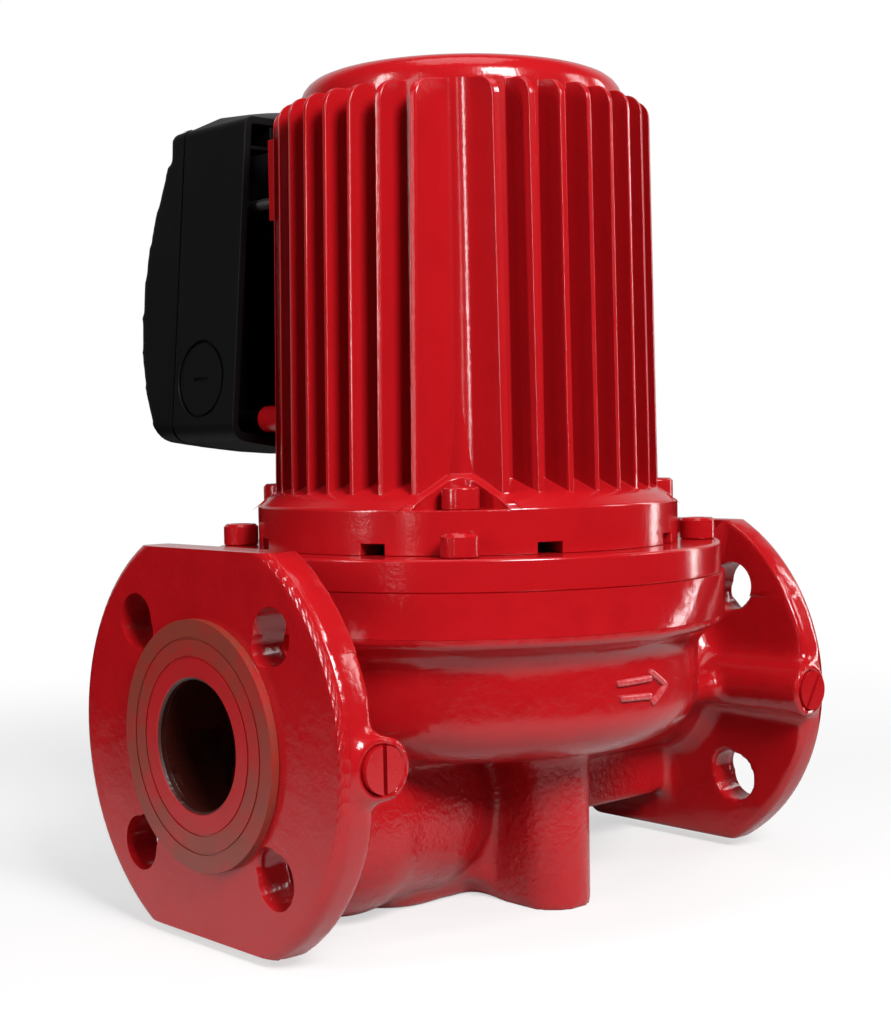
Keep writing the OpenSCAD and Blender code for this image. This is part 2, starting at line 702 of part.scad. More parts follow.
// Finned die-casting round the stator, with its bell, screw pockets, drain slots and box lugs
module motor_housing() color(paint_red) difference() {
    union() {
        rotate_extrude() polygon(rounded(
            [[0, z_ring1], [bell_r, z_ring1], [bell_r, z_bell1], [bell_r - 6, z_bell1 + 4.5],
             [core_r + 0.8, z_core0], [core_r, z_top - dome_r - 0.5], [core_r, z_top], [0, z_top]],
            [0, 0, 1.5, 0, 0, 0, dome_r, 0]));
        intersection() {
            rotate_extrude() polygon(fin_envelope());
            linear_extrude(z_top) fin_plan();
        }
        intersection() {
            rotate_extrude() polygon([[0, z_bell1 - 4], [bell_r - 1.5, z_bell1 - 4],
                [bell_r - 1.5, z_bell1 + 1.5], [core_r, z_core0 + 2.5], [0, z_core0 + 2.5]]);
            linear_extrude(z_top) for (a = [0:90:270]) rotate(a) difference() {
                pocket_plan(pocket_edge - pocket_rib, pocket_round + pocket_rib);
                pocket_plan(pocket_edge, pocket_round);
            }
        }
        box_lugs();
        y_rod(core_r - 8, pad_face, pad_r, 0, grommet_z);
    }
    for (a = [0:90:270]) rotate([0, 0, a]) translate([0, 0, pocket_floor])
        linear_extrude(z_core0 + 14 - pocket_floor) pocket_plan(pocket_edge, pocket_round);
    translate([0, 0, z_ring1 - over]) cylinder(h = bell_h - 4, r = bell_bore);
    translate([0, 0, z_ring1 - over]) cylinder(h = z_top - housing_wall_top - z_ring1 + over,
        r = stator_r + stator_gap);
    translate([0, 0, z_ring1]) cylinder(h = z_top, r = neck_out_r + 0.2);
    translate([0, 0, z_top - top_recess]) cylinder(h = z_top, r = top_recess_r);
    for (i = [0:drain_count - 1]) rotate([0, 0, (i + 0.5) * 360 / drain_count])
        translate([bell_bore - 5, -drain_w / 2, z_ring1 - over])
            cube([bell_r - bell_bore + 10, drain_w, drain_h + over]);
    on_diagonals(motor_screw_reach) cylinder(h = z_core0, r = screw_d / 2 + hole_gap);
    for (s = [-1, 1], p = lugs)
        y_rod(p.y - box_screw_grip - spare, p.y + over, box_screw_r, s * lug_reach, p.x);
    y_rod(core_r - 14, pad_face + over, grommet_r, 0, grommet_z);
}

// Slotted vent plug in the top of the motor
module vent_plug() color(steel) difference() {
    union() {
        translate([0, 0, z_top - top_recess + vent_gasket_t]) {
            cylinder(h = vent_head_h - 1, r = vent_head_r);
            translate([0, 0, vent_head_h - 1]) cylinder(h = 1, r1 = vent_head_r, r2 = vent_head_r - 1);
        }
        translate([0, 0, z_top - top_recess - 12])
            cylinder(h = 12 + vent_gasket_t + eps, r = neck_in_r - vent_thread_gap);
    }
    translate([-vent_head_r - over, -1.25, z_top - top_recess + vent_gasket_t + vent_head_h - 2.5])
        cube([2 * vent_head_r + 2 * over, 2.5, 4]);
}

module vent_gasket() color(rubber) translate([0, 0, z_top - top_recess]) difference() {
    cylinder(h = vent_gasket_t, r = vent_head_r - 0.5);
    translate([0, 0, -over]) cylinder(h = vent_gasket_t + 2 * over, r = neck_in_r);
}

// Rubber sleeve that leads the stator wires into the box
module lead_grommet() color(rubber) difference() {
    union() {
        y_rod(core_r - 4, box_floor + box_floor_t + eps, grommet_r - 0.1, 0, grommet_z);
        y_rod(box_floor + box_floor_t, box_floor + box_floor_t + grommet_lip, grommet_r + 2, 0, grommet_z);
    }
    y_rod(core_r - 6, box_front, grommet_r - 2.5, 0, grommet_z);
}

// Positions of the lid screws in X and Z
function lid_screw_places() = [for (s = [-1, 1], p = [lid_screw_low, lid_screw_high]) [s * p.x, p.y]];

// A disc in the side wall on side s, square to the leaning wall
module entry_disc(s, r, from, to)
    translate([s * (box_half_low - entry_lift * tan(side_tilt)), entry_y, entry_z])
        rotate([0, s * (90 - side_tilt), 0]) translate([0, 0, from]) cylinder(h = to - from, r = r);

// Pocket walls in the upper rear corner on side s
module corner_pocket(s) {
    x = box_half_top - box_wall - pocket_w;
    translate([s < 0 ? -box_half_top + box_wall / 2 : x - pocket_wall, 0, z_box_side - box_wall - pocket_h])
        along_y(box_back + spare, box_floor + eps) difference() {
            translate([0, -pocket_wall])
                square([pocket_w + box_wall / 2 + pocket_wall, pocket_h + 2 * pocket_wall]);
            translate([s < 0 ? -over : pocket_wall, 0]) square([pocket_w + box_wall / 2 + over, 2 * pocket_h]);
        }
}

// Open-backed box base with a mounting floor, sleeves for its screws and posts for the lid's.
// Its rear edges follow the round of the motor's fins.
module terminal_box_base() color(box_black) difference() {
    union() {
        difference() {
            box_body(box_back, box_front, 0, hump_fall_rear);
            box_body(box_back - over, box_floor, box_wall, hump_fall_rear);
            box_body(box_floor + box_floor_t, box_front + over, box_wall, hump_fall_rear);
            cylinder(h = 2 * z_top, r = fin_tip_r + motor_clear);
        }
        for (s = [-1, 1]) {
            y_rod(lug_low.y + 0.1, box_floor + eps, box_screw_r + sleeve_wall, s * lug_reach, lug_low.x);
            y_rod(sleeve_high, box_floor + eps, box_screw_r + sleeve_wall, s * lug_reach, lug_high.x);
            corner_pocket(s);
        }
        for (p = lid_screw_places())
            y_rod(box_floor + box_floor_t - eps, box_front, lid_post_r, p.x, p.y);
    }
    for (s = [-1, 1], p = lugs) y_rod(p.y - over, box_front, box_screw_r + 0.2, s * lug_reach, p.x);
    for (p = lid_screw_places())
        y_rod(box_front - lid_screw_grip - spare, box_front + over, lid_screw_r, p.x, p.y);
    for (s = [-1, 1]) entry_disc(s, entry_d / 2, -entry_thread - box_wall, entry_thread);
    y_rod(box_back, box_front, grommet_r, 0, grommet_z);
}

module terminal_box_gasket() color(rubber) difference() {
    box_body(box_front, lid_front0, 0.8, 0);
    box_body(box_front - over, lid_front0 + over, box_wall, 0);
}

// Side profile of the lid in Y and Z: a domed front that starts a step below the flat top
function lid_profile() = rounded(
    [[lid_front0 - over, z_box0 - 2 * box_sag], [box_front + 4.7, z_box0 - 13],
     [box_front + lid_depth, z_box0 + 24.4], [box_front + lid_depth, z_box0 + 77],
     [box_front + 14.3, z_box0 + 103.6], [box_front + 13.2, z_box0 + 109.5],
     [box_front + 10, z_box0 + 109.5], [box_front + 10, z_box_side + 2 * box_crown],
     [lid_front0 - over, z_box_side + 2 * box_crown]], [0, 0, 90, 118, 0, 0, 0, 0, 0]);

module lid_solid(inset, y_shift) intersection() {
    box_body(lid_front0 - (inset > 0 ? over : 0), lid_front0 + 2 * lid_depth, inset, hump_fall_front);
    translate([-box_half_low - over, 0, 0]) rotate([90, 0, 90])
        linear_extrude(2 * box_half_low + 2 * over) translate([y_shift, 0]) polygon(lid_profile());
}

module terminal_box_lid() color(box_black) difference() {
    lid_solid(0, 0);
    difference() {
        lid_solid(box_wall, -box_wall);
        for (p = lid_screw_places())
            y_rod(lid_front0 - 3 * over, lid_front0 + 2 * lid_depth, lid_post_r, p.x, p.y);
    }
    for (p = lid_screw_places()) {
        y_rod(lid_front0 - over, lid_front0 + 2 * lid_depth, lid_screw_r + 0.2, p.x, p.y);
        y_rod(lid_front0 + lid_rim - screw_head_h - 0.5, lid_front0 + 2 * lid_depth,
            2 * lid_screw_r + 0.3, p.x, p.y);
    }
}

module lid_screws() color(steel) for (p = lid_screw_places()) difference() {
    union() {
        y_rod(lid_front0 + lid_rim - screw_head_h - 0.5, lid_front0 + lid_rim - 0.5, 2 * lid_screw_r, p.x, p.y);
        y_rod(box_front - lid_screw_grip, lid_front0 + lid_rim - screw_head_h - 0.5 + eps,
            lid_screw_r - seat_gap, p.x, p.y);
    }
    translate([p.x - lid_post_r, lid_front0 + lid_rim - screw_head_h / 2, p.y - 0.5])
        cube([2 * lid_post_r, screw_head_h, 1]);
}

module box_screws() color(steel) for (s = [-1, 1], p = lugs) {
    y_rod(p.y - box_screw_grip, box_floor + box_floor_t + eps, box_screw_r - seat_gap, s * lug_reach, p.x);
    y_rod(box_floor + box_floor_t, box_floor + box_floor_t + screw_head_h, box_screw_r * 1.8,
        s * lug_reach, p.x);
}

// Screwed blind plug in a cable entry, with a groove round its face and a coin slot
module entry_plug(s) color(box_black) difference() {
    union() {
        entry_disc(s, entry_d / 2 - entry_gap, -entry_thread, -entry_sink - entry_groove);
        entry_disc(s, entry_d / 2 - entry_groove, -entry_thread, -entry_sink);
    }
    translate([s * (box_half_low - entry_lift * tan(side_tilt)), entry_y, entry_z])
        rotate([0, -s * side_tilt, 0]) translate(-coin_slot / 2) cube(coin_slot);
}
module left_entry_plug() entry_plug(-1);
module right_entry_plug() entry_plug(1);

// Terminal strip on the box floor, with a row of wire pockets
module terminal_block() color("#d8d4c8") difference() {
    translate([-block_w / 2, box_floor + box_floor_t, block_z]) cube([block_w, block_d, block_h]);
    for (i = [0:pole_count - 1]) translate([(i - (pole_count - 1) / 2) * pole_pitch, 0, 0]) {
        translate([-wire_pocket.x / 2, box_floor + box_floor_t + 3, block_z - over]) cube(wire_pocket);
        y_rod(box_floor + box_floor_t + pole_depth, box_front, pole_screw_r, 0, block_z + pole_head);
    }
}

module terminal_screws() color(steel) for (i = [0:pole_count - 1])
    y_rod(box_floor + box_floor_t + pole_depth, box_floor + box_floor_t + block_d - 1, pole_screw_r - 0.1,
        (i - (pole_count - 1) / 2) * pole_pitch, block_z + pole_head);

module earth_screw() color("#b08d3c") {
    y_rod(box_floor + box_floor_t, box_floor + box_floor_t + earth_r, earth_r, earth_x, block_z + earth_r);
}

pump_housing();
inlet_gauge_plug();
outlet_gauge_plug();
wear_ring();
impeller();
impeller_nut();
housing_gasket();
bearing_plate();
lower_bearing();
thrust_ring();
shaft();
rotor();
rotor_can();
upper_bearing_holder();
upper_bearing();
stator_core();
stator_windings();
motor_ring();
ring_screws();
motor_housing();
motor_screws();
vent_plug();
vent_gasket();
lead_grommet();
terminal_box_base();
terminal_box_gasket();
terminal_box_lid();
lid_screws();
box_screws();
left_entry_plug();
right_entry_plug();
terminal_block();
terminal_screws();
earth_screw();
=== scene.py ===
import json
import math

import bpy
import numpy as np
from mathutils import Matrix, Vector


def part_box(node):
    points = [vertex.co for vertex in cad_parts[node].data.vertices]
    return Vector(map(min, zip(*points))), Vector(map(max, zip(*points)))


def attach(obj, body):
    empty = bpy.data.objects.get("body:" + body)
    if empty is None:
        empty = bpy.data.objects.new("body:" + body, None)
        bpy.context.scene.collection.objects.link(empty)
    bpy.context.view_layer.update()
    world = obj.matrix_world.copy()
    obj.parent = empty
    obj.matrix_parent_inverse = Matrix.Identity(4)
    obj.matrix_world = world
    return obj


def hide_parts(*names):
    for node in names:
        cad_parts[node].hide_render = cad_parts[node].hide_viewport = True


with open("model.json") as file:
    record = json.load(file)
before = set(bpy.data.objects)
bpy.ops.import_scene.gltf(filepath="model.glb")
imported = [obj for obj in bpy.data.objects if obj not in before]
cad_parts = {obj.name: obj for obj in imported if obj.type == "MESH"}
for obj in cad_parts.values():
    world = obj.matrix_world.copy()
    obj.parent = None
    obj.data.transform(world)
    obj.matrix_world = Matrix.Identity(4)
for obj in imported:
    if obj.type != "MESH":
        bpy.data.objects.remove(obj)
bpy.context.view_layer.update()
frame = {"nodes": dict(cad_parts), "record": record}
nodes = frame["nodes"]

# Camera: the pump is seen from its inlet side, a little above its middle, with a short tele lens.
# Place, turn and focal length were fitted to the flanges and the motor in the photograph.
azimuth, tilt, roll = math.radians(-42.35), math.radians(2.49), math.radians(-0.95)
ahead = Vector((-math.sin(azimuth) * math.cos(tilt), math.cos(azimuth) * math.cos(tilt), -math.sin(tilt)))
level = Vector((math.cos(azimuth), math.sin(azimuth), 0))
above = level.cross(ahead)
right = level * math.cos(roll) + above * math.sin(roll)
up = above * math.cos(roll) - level * math.sin(roll)
FRAME_WIDTH, FRAME_HEIGHT, SENSOR = 891, 1024, 36
FOCAL_PIXELS, CENTRE_X, CENTRE_Y = 1739.97, 443.49, 511.18
bpy.ops.object.camera_add(location=(-0.4479, -0.47789, 0.16915))
camera = bpy.context.object
camera.rotation_euler = Matrix((right, up, -ahead)).transposed().to_euler()
camera.data.sensor_width = SENSOR
camera.data.lens = FOCAL_PIXELS * SENSOR / FRAME_HEIGHT
camera.data.shift_x = (FRAME_WIDTH / 2 - CENTRE_X) / FRAME_HEIGHT
camera.data.shift_y = (CENTRE_Y - FRAME_HEIGHT / 2) / FRAME_HEIGHT
camera.data.clip_end = 100
bpy.context.scene.camera = camera
bpy.context.scene.view_settings.view_transform = "Standard"


# Housing: one grey-iron sand casting of volute, both flanges, the duct under the volute and the foot.
# Red enamel follows its rough skin. The raised faces, machined after painting, have gone brown. Inside the
# ports the iron is bare, and it is coloured near-black as painted shade for the darkness deep in the bore.
class Tone:
    """A value that varies over a surface. Sums and products of tones become Math nodes."""

    def __init__(self, out):
        self.out = out

    def make(self, kind, settings=None, values=None, output=0):
        """Adds a node of a kind, makes its settings, feeds its inputs and returns one of its outputs."""
        tree = self.out.id_data
        node = tree.nodes.new("ShaderNode" + kind)
        for name, value in (settings or {}).items():
            setattr(node, name, value)
        for place, value in (values or {}).items():
            if isinstance(value, Tone):
                tree.links.new(value.out, node.inputs[place])
            else:
                node.inputs[place].default_value = value
        return Tone(node.outputs[output])

    def math(self, operation, *values):
        return self.make("Math", {"operation": operation}, dict(enumerate(values)))

    def __add__(self, other):
        return self.math("ADD", self, other)

    def __sub__(self, other):
        return self.math("SUBTRACT", self, other)

    def __rsub__(self, other):
        return self.math("SUBTRACT", other, self)

    def __mul__(self, other):
        return self.math("MULTIPLY", self, other)

    def __pow__(self, other):
        return self.math("POWER", self, other)

    __radd__, __rmul__ = __add__, __mul__

    def axis(self, name):
        return self.make("SeparateXYZ", None, {0: self}, "XYZ".index(name))

    def ramp(self, low, high):
        """0 where this tone is below low and 1 above high, with a soft step between."""
        return self.make("MapRange", {"interpolation_type": "SMOOTHSTEP"}, {0: self, 1: low, 2: high})

    def grain(self, size, detail=3.0, roughness=0.5):
        """Noise at this place, with grains of a size in metres."""
        return self.make("TexNoise", None, {"Vector": self, "Scale": 1 / size, "Detail": detail,
                                            "Roughness": roughness})

    def colour(self, first, second):
        """The first colour where this tone is 0, the second where it is 1."""
        pair = {6: first if isinstance(first, Tone) else (*first, 1),
                7: second if isinstance(second, Tone) else (*second, 1)}
        return self.make("Mix", {"data_type": "RGBA"}, {0: self, **pair}, 2)

    def bump(self):
        """The bent normals of this height, in metres."""
        return self.make("Bump", None, {"Strength": 1.0, "Distance": 1.0, "Height": self})


class Finish:
    """A material: its fixed sockets are set here, and varying ones are fed afterwards."""

    def __init__(self, name, **fixed):
        self.material = bpy.data.materials.new(name)
        self.material.use_nodes = True
        self.shader = self.material.node_tree.nodes["Principled BSDF"]
        for key, value in fixed.items():
            self.shader.inputs[key.replace("_", " ")].default_value = value
        here = self.material.node_tree.nodes.new("ShaderNodeTexCoord")
        self.place = Tone(here.outputs["Object"])

    def feed(self, **tones):
        for key, tone in tones.items():
            self.material.node_tree.links.new(tone.out, self.shader.inputs[key.replace("_", " ")])
        return self.material


def dress(material, *names):
    for name in names:
        nodes[name].material_slots[0].material = material


RED = (0.41, 0.0062, 0.0095)
PORT = next(mount for mount in frame["record"]["mounts"] if mount["name"] == "inlet_port")
PORT_HEIGHT = PORT["pos_m"][2]
BORE_EDGE = PORT["dims"]["r_mm"] / 1000 + 0.0005
PORT_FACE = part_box("pump_housing")[1][0]
FACE_EDGE = PORT_FACE - 0.00295
enamel = Finish("cast_enamel", IOR=1.5)
x, y, z = (enamel.place.axis(a) for a in "XYZ")
skin = enamel.place.grain(0.0024, 4.0, 0.55)
swell = enamel.place.grain(0.012, 2.0)
peel = enamel.place.grain(0.0011, 1.0)
from_middle = x.math("ABSOLUTE", x)
coarse = (1 - z.ramp(0.050, 0.072)) * (1 - from_middle.ramp(0.098, 0.106))
off_axis = (y * y + (z - PORT_HEIGHT) ** 2) ** 0.5
machined = from_middle.ramp(FACE_EDGE, FACE_EDGE + 0.0001)
turned = off_axis.make("TexNoise", {"noise_dimensions": "1D"}, {"W": off_axis * 420, "Detail": 0.0})
ring_band = off_axis.ramp(0.0293, 0.0303) * 0.35 + off_axis.ramp(0.0355, 0.0365) * 0.12
wear = machined * (ring_band + enamel.place.grain(0.010, 4.0) + turned * 0.3 - 0.50)
height = skin * (coarse * 0.00055 + 0.00010) + swell * 0.00040 + peel * 0.00003
paint = swell.ramp(0.45, 0.8).colour(RED, (0.375, 0.0056, 0.0085))
# The port bores are coloured near-black: bare iron, darkened further as painted shade deep inside the
# bore.
bare_and_shaded_bore = (1 - off_axis.ramp(BORE_EDGE, BORE_EDGE + 0.0005)) * from_middle.ramp(0.060, 0.075)
paint = bare_and_shaded_bore.colour(paint, (0.035, 0.006, 0.004))
cast_enamel = enamel.feed(
    Base_Color=wear.ramp(0.15, 0.75).colour(paint, (0.22, 0.036, 0.022)),
    Roughness=0.11 + skin * 0.08 + machined * 0.20,
    Normal=((1 - machined) * height).bump(),
)
dress(cast_enamel, "pump_housing")


def only(piece):
    """Leaves this piece selected and active, and nothing else."""
    bpy.ops.object.select_all(action="DESELECT")
    piece.select_set(True)
    bpy.context.view_layer.objects.active = piece


def copied(name, source):
    """A piece of its own with a copy of the source's mesh, its loose triangles merged."""
    piece = bpy.data.objects.new(name, source.data.copy())
    bpy.context.scene.collection.objects.link(piece)
    only(piece)
    bpy.ops.object.mode_set(mode="EDIT")
    bpy.ops.mesh.select_all(action="SELECT")
    bpy.ops.mesh.remove_doubles(threshold=2e-6)
    bpy.ops.object.mode_set(mode="OBJECT")
    return piece


def trim(piece, place, outward):
    """Saws off what lies outside a plane and closes the cut."""
    only(piece)
    bpy.ops.object.mode_set(mode="EDIT")
    bpy.ops.mesh.select_all(action="SELECT")
    bpy.ops.mesh.bisect(plane_co=place, plane_no=outward, use_fill=True, clear_outer=True)
    bpy.ops.object.mode_set(mode="OBJECT")


def finished(piece, kind, **settings):
    """Adds one modifier with its settings and applies it."""
    only(piece)
    modifier = piece.modifiers.new(kind.lower(), kind)
    for key, value in settings.items():
        setattr(modifier, key, value)
    bpy.ops.object.modifier_apply(modifier=modifier.name)


FACE_CUT = PORT_FACE - 0.0052
RIM_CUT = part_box("motor_ring")[0][2] - 0.015
CAST_VOXEL = 0.0014
casting = copied("housing_casting", nodes["pump_housing"])
machined_ends = []
for side in (-1, 1):
    end = copied("flange_face", casting)
    trim(end, (side * FACE_CUT, 0, 0), (-side, 0, 0))
    machined_ends.append(end)
rim = copied("housing_rim", casting)
trim(rim, (0, 0, RIM_CUT), (0, 0, -1))
for side in (-1, 1):
    trim(rim, (side * FACE_CUT, 0, 0), (side, 0, 0))
finished(casting, "REMESH", mode="VOXEL", voxel_size=CAST_VOXEL, use_smooth_shade=True)

# The moulder's fillets: only the hollow corners of the sand casting are rounded. The patch round a
# corner is widened by five rings of vertices, and its edge then fades over four.
HOLLOW_DEPTH, NEAR_SHARE = 0.00013, 0.12
WIDEN_RINGS, FADE_RINGS, FILLET_PASSES = 5, 4, 45
mesh = casting.data
count = len(mesh.vertices)
place = np.empty(count * 3, np.float32)
mesh.vertices.foreach_get("co", place)
normal = np.empty(count * 3, np.float32)
mesh.vertices.foreach_get("normal", normal)
place, normal = place.reshape(-1, 3), normal.reshape(-1, 3)
pairs = np.empty(len(mesh.edges) * 2, np.int64)
mesh.edges.foreach_get("vertices", pairs)
first, second = pairs.reshape(-1, 2).T


def from_neighbours(values):
    """Each vertex's mean over its neighbours."""
    total = np.zeros((count,) + values.shape[1:])
    np.add.at(total, first, values[second])
    np.add.at(total, second, values[first])
    degree = np.bincount(pairs, minlength=count).reshape((-1,) + (1,) * (values.ndim - 1))
    return total / degree


hollow = ((from_neighbours(place) - place) * normal).sum(1)
fillet = (hollow > HOLLOW_DEPTH).astype(float)
for ring in range(WIDEN_RINGS):
    fillet = np.maximum(fillet, (from_neighbours(fillet) > NEAR_SHARE).astype(float))
for ring in range(FADE_RINGS):
    fillet = from_neighbours(fillet)


def softened(name, weights, iterations):
    """Smooths the casting where the weights, rounded to tenths, are above 0."""
    group = casting.vertex_groups.new(name=name)
    tenths = np.round(weights, 1)
    for weight in np.unique(tenths):
        group.add(np.flatnonzero(tenths == weight).tolist(), float(weight), "REPLACE")
    finished(casting, "SMOOTH", vertex_group=name, factor=0.5, iterations=iterations)


softened("fillets", fillet, FILLET_PASSES)
# The duct's bulb, from its neck at the flange to the foot, is one smooth swelling.
BULB_MIDDLE, BULB_HALF_LENGTH, BULB_HALF_WIDTH, BULB_TOP, BULB_PASSES = -0.062, 0.038, 0.050, 0.060, 20
along, across, high = place.T
bulb = (np.abs(along - BULB_MIDDLE) < BULB_HALF_LENGTH) & (np.abs(across) < BULB_HALF_WIDTH)
bulb = bulb & (high < BULB_TOP)
softened("duct", from_neighbours(from_neighbours(bulb.astype(float))), BULB_PASSES)
finished(casting, "SMOOTH", factor=0.5, iterations=2)
trim(casting, (0, 0, RIM_CUT), (0, 0, 1))
for side in (-1, 1):
    trim(casting, (side * FACE_CUT, 0, 0), (side, 0, 0))
only(casting)
for part in (*machined_ends, rim):
    part.select_set(True)
bpy.ops.object.join()
casting.data.materials.clear()
casting.data.materials.append(cast_enamel)
only(casting)
bpy.ops.object.shade_smooth_by_angle(angle=math.radians(32))
for face in casting.data.polygons:
    if abs(face.center.x) > FACE_CUT and abs(face.normal.x) > 0.5:
        face.use_smooth = False
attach(casting, "pump")
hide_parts("pump_housing")

# Flow arrow: raised strokes cast on the volute wall, two bars and an open head, which show the flow.
# Each stroke is a narrow ridge with rounded flanks, bent to the wall. Its ends are given by their way
# along the wall and their height.
VOLUTE_RADIUS = 0.0855
STROKE_WIDTH, STROKE_DEPTH, STROKE_ROUND, OVERLAP, SUNK = 0.0023, 0.0026, 0.0008, 0.0012, 0.0001
BEND_SPACING, BENDS_EACH_WAY = 0.001, 6
STROKES = (((-0.0113, 0.0844), (0.0043, 0.0847)), ((-0.0100, 0.0792), (0.0042, 0.0786)),
           ((0.0046, 0.0869), (0.0134, 0.0814)), ((0.0134, 0.0814), (0.0055, 0.0762)))
strokes = []
for (from_way, from_height), (to_way, to_height) in STROKES:
    bpy.ops.object.select_all(action="DESELECT")
    length = math.hypot(to_way - from_way, to_height - from_height) + OVERLAP
    bpy.ops.mesh.primitive_cube_add(size=1, scale=(length, STROKE_WIDTH, STROKE_DEPTH))
    stroke = bpy.context.object
    bpy.ops.object.transform_apply(location=False, rotation=False, scale=True)
    finished(stroke, "BEVEL", width=STROKE_ROUND, segments=3, limit_method="ANGLE")
    bpy.ops.object.mode_set(mode="EDIT")
    for cut in range(-BENDS_EACH_WAY, BENDS_EACH_WAY + 1):
        bpy.ops.mesh.select_all(action="SELECT")
        bpy.ops.mesh.bisect(plane_co=(cut * BEND_SPACING, 0, 0), plane_no=(1, 0, 0))
    bpy.ops.object.mode_set(mode="OBJECT")
    slope = math.atan2(to_height - from_height, to_way - from_way)
    for vertex in stroke.data.vertices:
        along, across, out = vertex.co
        way = (from_way + to_way) / 2 + along * math.cos(slope) - across * math.sin(slope)
        high = (from_height + to_height) / 2 + along * math.sin(slope) + across * math.cos(slope)
        radius = VOLUTE_RADIUS + out - SUNK
        turn = way / VOLUTE_RADIUS
        vertex.co = (radius * math.sin(turn), -radius * math.cos(turn), high)
    strokes.append(stroke)
arrow = strokes[0]
only(arrow)
for stroke in strokes[1:]:
    stroke.select_set(True)
bpy.ops.object.join()
arrow.name = "flow_arrow"
bpy.ops.object.mode_set(mode="EDIT")
bpy.ops.mesh.select_all(action="SELECT")
bpy.ops.mesh.normals_make_consistent(inside=False)
bpy.ops.object.mode_set(mode="OBJECT")
bpy.ops.object.shade_smooth_by_angle(angle=math.radians(40))
# The strokes are coloured a lighter, pinker red than the wall and mottled by noise: a painted highlight on
# the raised ridges.
highlight_paint = Finish("painted_highlight_enamel", IOR=1.5)
highlight_mottle = highlight_paint.place.grain(0.0016, 3.0)
painted_highlight_enamel = highlight_paint.feed(
    Base_Color=highlight_mottle.ramp(0.30, 0.80).colour((0.46, 0.030, 0.036), (0.56, 0.10, 0.11)),
    Roughness=0.14 + highlight_mottle * 0.10,
)
arrow.data.materials.append(painted_highlight_enamel)
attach(arrow, "pump")

# Motor castings: the finned motor housing and the ring under it, each held by four socket screws.
# They are smooth castings under the same enamel, with only slightly rounded edges.
smooth = Finish("smooth_enamel", IOR=1.5)
swell = smooth.place.grain(0.014, 2.0)
peel = smooth.place.grain(0.0013, 2.0)
smooth_enamel = smooth.feed(
    Base_Color=swell.ramp(0.4, 0.8).colour(RED, (0.385, 0.0058, 0.009)),
    Roughness=0.12 + peel * 0.08,
    Normal=(peel * 0.00006 + swell * 0.00012).bump(),
)
dress(smooth_enamel, "motor_housing", "motor_ring", "inlet_gauge_plug", "outlet_gauge_plug", "ring_screws",
      "motor_screws")


def eased(name, source, width, material):
    """A copy of a node whose sharp edges are rounded to a width, standing in for the node."""
    piece = copied(name, nodes[source])
    bpy.ops.object.mode_set(mode="EDIT")
    bpy.ops.mesh.select_all(action="SELECT")
    bpy.ops.mesh.dissolve_limited(angle_limit=math.radians(0.5))
    bpy.ops.object.mode_set(mode="OBJECT")
    finished(piece, "BEVEL", width=width, segments=2, limit_method="ANGLE", angle_limit=math.radians(50),
             use_clamp_overlap=False)
    piece.data.materials.clear()
    piece.data.materials.append(material)
    only(piece)
    bpy.ops.object.shade_smooth_by_angle(angle=math.radians(35))
    finished(piece, "WEIGHTED_NORMAL", keep_sharp=True)
    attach(piece, "pump")
    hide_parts(source)


eased("finned_casting", "motor_housing", 0.0004, smooth_enamel)
eased("ring_screw_heads", "ring_screws", 0.0007, smooth_enamel)
eased("motor_screw_heads", "motor_screws", 0.0007, smooth_enamel)

# Terminal box: a two-part moulding in black glass-filled plastic with a fine spark-eroded grain.
# The base is screwed to four lugs of the motor housing, and the lid to the base.
moulding = Finish("black_moulding", IOR=1.46, Specular_IOR_Level=0.12)
grain = moulding.place.grain(0.0005, 2.0)
cloud = moulding.place.grain(0.03, 2.0)
black_moulding = moulding.feed(
    Base_Color=cloud.colour((0.0030, 0.0030, 0.0034), (0.0046, 0.0046, 0.0050)),
    Roughness=0.42 + cloud * 0.10,
    Normal=(grain * 0.00004).bump(),
)
dress(black_moulding, "terminal_box_base", "terminal_box_lid", "left_entry_plug", "right_entry_plug")
eased("box_shell", "terminal_box_base", 0.0004, black_moulding)

# The lid's front edges are generously rounded, but its rim stays crisp against the gasket.
LID_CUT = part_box("terminal_box_lid")[0][1] + 0.0032
LID_VOXEL, LID_PASSES = 0.0011, 14
lid = copied("domed_lid", nodes["terminal_box_lid"])
lid_rim = copied("lid_rim", lid)
trim(lid_rim, (0, LID_CUT, 0), (0, 1, 0))
finished(lid, "REMESH", mode="VOXEL", voxel_size=LID_VOXEL, use_smooth_shade=True)
finished(lid, "SMOOTH", factor=0.5, iterations=LID_PASSES)
trim(lid, (0, LID_CUT, 0), (0, -1, 0))
only(lid)
lid_rim.select_set(True)
bpy.ops.object.join()
lid.data.materials.clear()
lid.data.materials.append(black_moulding)
only(lid)
bpy.ops.object.shade_smooth_by_angle(angle=math.radians(35))
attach(lid, "pump")
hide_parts("terminal_box_lid")

# Inner pieces and small fasteners: shaft, impeller, can, vent plug and screws are bright steel, the
# bearings are carbon, the seals are black rubber, and the motor is steel sheets and copper wire.
metal = Finish("turned_steel", Metallic=1.0)
rings = metal.place.grain(0.0009, 3.0)
turned_steel = metal.feed(
    Base_Color=rings.colour((0.50, 0.51, 0.52), (0.62, 0.62, 0.63)),
    Roughness=0.26 + rings * 0.12,
    Normal=(rings * 0.00002).bump(),
)
dress(turned_steel, "shaft", "impeller", "impeller_nut", "wear_ring", "rotor_can", "bearing_plate",
      "upper_bearing_holder", "vent_plug", "lid_screws", "box_screws", "terminal_screws")

stack = Finish("laminations", Metallic=0.8)
sheets = stack.place.axis("Z").math("FRACT", stack.place.axis("Z") * 1500)
laminations = stack.feed(
    Base_Color=sheets.ramp(0.3, 0.6).colour((0.10, 0.10, 0.11), (0.30, 0.30, 0.32)),
    Roughness=0.45 + stack.place.grain(0.004) * 0.15,
)
dress(laminations, "stator_core", "rotor")

